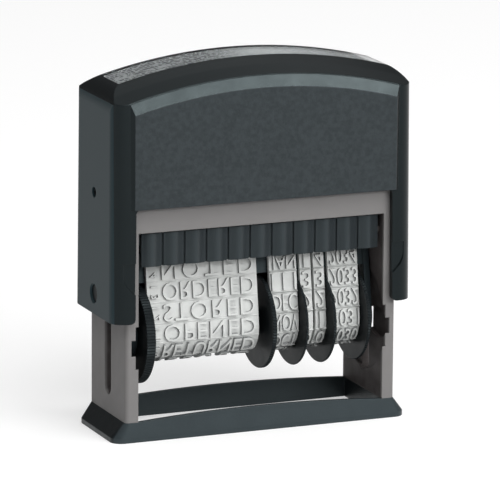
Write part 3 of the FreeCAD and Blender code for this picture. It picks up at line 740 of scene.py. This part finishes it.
# A turned wheel whose thumb disc has the fine teeth that the solid's coarse ones stand for.
def makeWheel(name):
    discRadius = wheels["discs"][name][2]
    teeth = round(2 * math.pi * discRadius / wheels["toothPitch"])
    shape = bmesh.new()
    points = [shape.verts.new((x, 0, radius)) for x, radius in wheelProfile(name)]
    edges = [shape.edges.new(pair) for pair in zip(points, points[1:] + points[:1])]
    bmesh.ops.spin(shape, geom=points + edges, cent=(0, 0, 0), axis=(1, 0, 0), angle=2 * math.pi,
                   steps=2 * teeth, use_merge=True, use_duplicate=False)
    for vert in shape.verts:
        radius = math.hypot(vert.co.y, vert.co.z)
        step = round(math.atan2(vert.co.y, vert.co.z) / math.pi * teeth)
        if radius > discRadius - wheels["chamfer"] / 2 and step % 2:
            vert.co.yz *= (radius - wheels["toothDepth"]) / radius
    bmesh.ops.translate(shape, verts=shape.verts, vec=(0, 0, loop["shaftZ"]))
    bmesh.ops.recalc_face_normals(shape, faces=shape.faces)
    piece = newPiece(name + "_turned", shape, [wheelPlastic])
    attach(piece, name)
    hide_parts(name)


for wheelName in wheels["discs"]:
    makeWheel(wheelName)
print("wheels ready")

felt = {
    "inset": 0.0001, "cornerRadius": 0.0006, "cuts": 24, "shortEdge": 0.004,
    "swell": 0.00006, "swellScale": 900,
    "colour": (0.010, 0.009, 0.016), "fibreShades": (0.5, 1.8), "fibreScale": 1500,
    "fibreStretch": (1.0, 3.0, 1.0), "roughness": (0.6, 0.95), "sheen": 0.25,
    "bump": 0.7, "bumpDepth": 0.0001,
}


def makeFeltMaterial():
    material, tree, shader = newMaterial("inkedFelt")
    fibres = noiseOn(tree, objectPlace(tree), felt["fibreScale"], 6, felt["fibreStretch"])
    dark, light = felt["fibreShades"]
    mouthShaded = mixColours(tree, fibres, shade(felt["colour"], dark), shade(felt["colour"], light))
    tree.links.new(mouthShaded, shader.inputs["Base Color"])
    tree.links.new(rangeOf(tree, fibres, midNoise, felt["roughness"]), shader.inputs["Roughness"])
    shader.inputs["Sheen Weight"].default_value = felt["sheen"]
    addBump(tree, shader, {"Strength": felt["bump"], "Distance": felt["bumpDepth"], "Height": fibres})
    return material


# Soft pad with rounded corners and a slightly uneven top.
def makeFelt():
    low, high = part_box("pad_felt")
    margin = 2 * felt["inset"]
    shape = bmesh.new()
    bmesh.ops.create_cube(shape, size=1.0)
    bmesh.ops.scale(shape, vec=high - low - Vector((margin, margin, margin)), verts=shape.verts)
    bmesh.ops.bevel(shape, geom=shape.edges[:], offset=felt["cornerRadius"], segments=3, profile=0.5,
                    affect="EDGES", material=-1)
    longEdges = [edge for edge in shape.edges if edge.calc_length() > felt["shortEdge"]]
    bmesh.ops.subdivide_edges(shape, edges=longEdges, cuts=felt["cuts"], use_grid_fill=True)
    bmesh.ops.translate(shape, vec=(low + high) / 2, verts=shape.verts)
    for vert in shape.verts:
        vert.co.z += felt["swell"] * noise.noise(vert.co * felt["swellScale"])
    piece = newPiece("ink_felt", shape, [makeFeltMaterial()], smooth=True)
    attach(piece, "ink_pad")
    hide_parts("pad_felt")


makeFelt()

spring = {"turns": 6, "wire": 0.0009, "meanRadius": 0.00405, "sides": 12, "stepsPerTurn": 28, "keep": 0.33}


# Round wire wound as the solid's is.
def makeSpring():
    low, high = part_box("return_spring")
    shape = bmesh.new()
    base = Vector((spring["meanRadius"], 0, low.z + spring["wire"] / 2))
    rise = high.z - low.z - spring["wire"]
    ring = bmesh.ops.create_circle(shape, segments=spring["sides"], radius=spring["wire"] / 2, cap_ends=True)
    bmesh.ops.rotate(shape, verts=ring["verts"], cent=(0, 0, 0), matrix=Matrix.Rotation(math.pi / 2, 3, "X"))
    bmesh.ops.translate(shape, verts=ring["verts"], vec=base)
    steps = spring["turns"] * spring["stepsPerTurn"]
    bmesh.ops.spin(shape, geom=shape.faces[:] + shape.edges[:] + shape.verts[:], cent=(0, 0, 0),
                   axis=(0, 0, 1), dvec=(0, 0, rise / steps), angle=2 * math.pi * spring["turns"],
                   steps=steps, use_merge=False, use_duplicate=False)
    bmesh.ops.recalc_face_normals(shape, faces=shape.faces)
    piece = newPiece("spring_wire", shape, [drawnSteel], smooth=True)
    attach(piece, "base")
    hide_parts("return_spring")
    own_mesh(piece)


makeSpring()
print("felt and spring ready")

studio = {
    "floorSize": 8.0, "floorColour": (0.62, 0.62, 0.62), "floorLift": 0.44,
    "sky": (0.12, 0.85), "skyRamp": (0.5, 0.8),      # level low and high, and where it rises
    "aimHeight": 0.04,
    "lamps": {
        "keySoftbox": {"azimuth": 23.5, "elevation": 20.5, "distance": 1.3, "size": (0.74, 0.26),
                       "level": 13.5},
        "topSoftbox": {"azimuth": 32, "elevation": 63, "distance": 1.2, "size": (0.9, 0.6), "level": 2.3},
        "fillSoftbox": {"azimuth": -12, "elevation": 45, "distance": 1.3, "size": (0.8, 0.7), "level": 2.5},
    },
}


# Pale floor that takes shadows, lifted to white where it is seen.
def makeFloorMaterial():
    material = bpy.data.materials.new("paleFloor")
    material.use_nodes = True
    tree = material.node_tree
    tree.nodes.clear()
    paths = addNode(tree, "LightPath", {})
    seen = calculate(tree, "MAXIMUM", paths.outputs["Is Camera Ray"], paths.outputs["Is Glossy Ray"])
    seen = calculate(tree, "MAXIMUM", seen, paths.outputs["Is Transmission Ray"])
    lift = addNode(tree, "Emission", {"Strength": product(tree, seen, studio["floorLift"])})
    cover = addNode(tree, "BsdfDiffuse", {"Color": shade(studio["floorColour"])})
    both = addNode(tree, "AddShader", {})
    tree.links.new(cover.outputs[0], both.inputs[0])
    tree.links.new(lift.outputs[0], both.inputs[1])
    addNode(tree, "OutputMaterial", {"Surface": both.outputs[0]})
    return material


def makeFloor():
    shape = bmesh.new()
    bmesh.ops.create_grid(shape, x_segments=1, y_segments=1, size=studio["floorSize"])
    floor = newPiece("floor", shape, [makeFloorMaterial()])


# A studio with dim walls and a bright ceiling.
def makeWorld():
    world = bpy.data.worlds.new("studioWorld")
    scene.world = world
    world.use_nodes = True
    tree = world.node_tree
    tree.nodes.clear()
    height = axesOf(tree, addNode(tree, "TexCoord", {}).outputs["Generated"])["Z"]
    level = rangeOf(tree, height, studio["skyRamp"], studio["sky"])
    background = addNode(tree, "Background", {"Color": (1, 1, 1, 1), "Strength": level})
    addNode(tree, "OutputWorld", {"Surface": background.outputs[0]})


def makeLamps():
    for name, look in studio["lamps"].items():
        data = bpy.data.lights.new(name, "AREA")
        data.shape = "RECTANGLE"
        data.size, data.size_y = look["size"]
        data.energy = look["level"] * math.pi * data.size * data.size_y
        lamp = bpy.data.objects.new(name, data)
        scene.collection.objects.link(lamp)
        back = directionFrom(look["azimuth"], look["elevation"])
        lamp.location = back * look["distance"] + Vector((0, 0, studio["aimHeight"]))
        lamp.rotation_mode = "QUATERNION"
        lamp.rotation_quaternion = (-back).to_track_quat("-Z", "Y")


makeFloor()
makeWorld()
makeLamps()
print("studio ready")
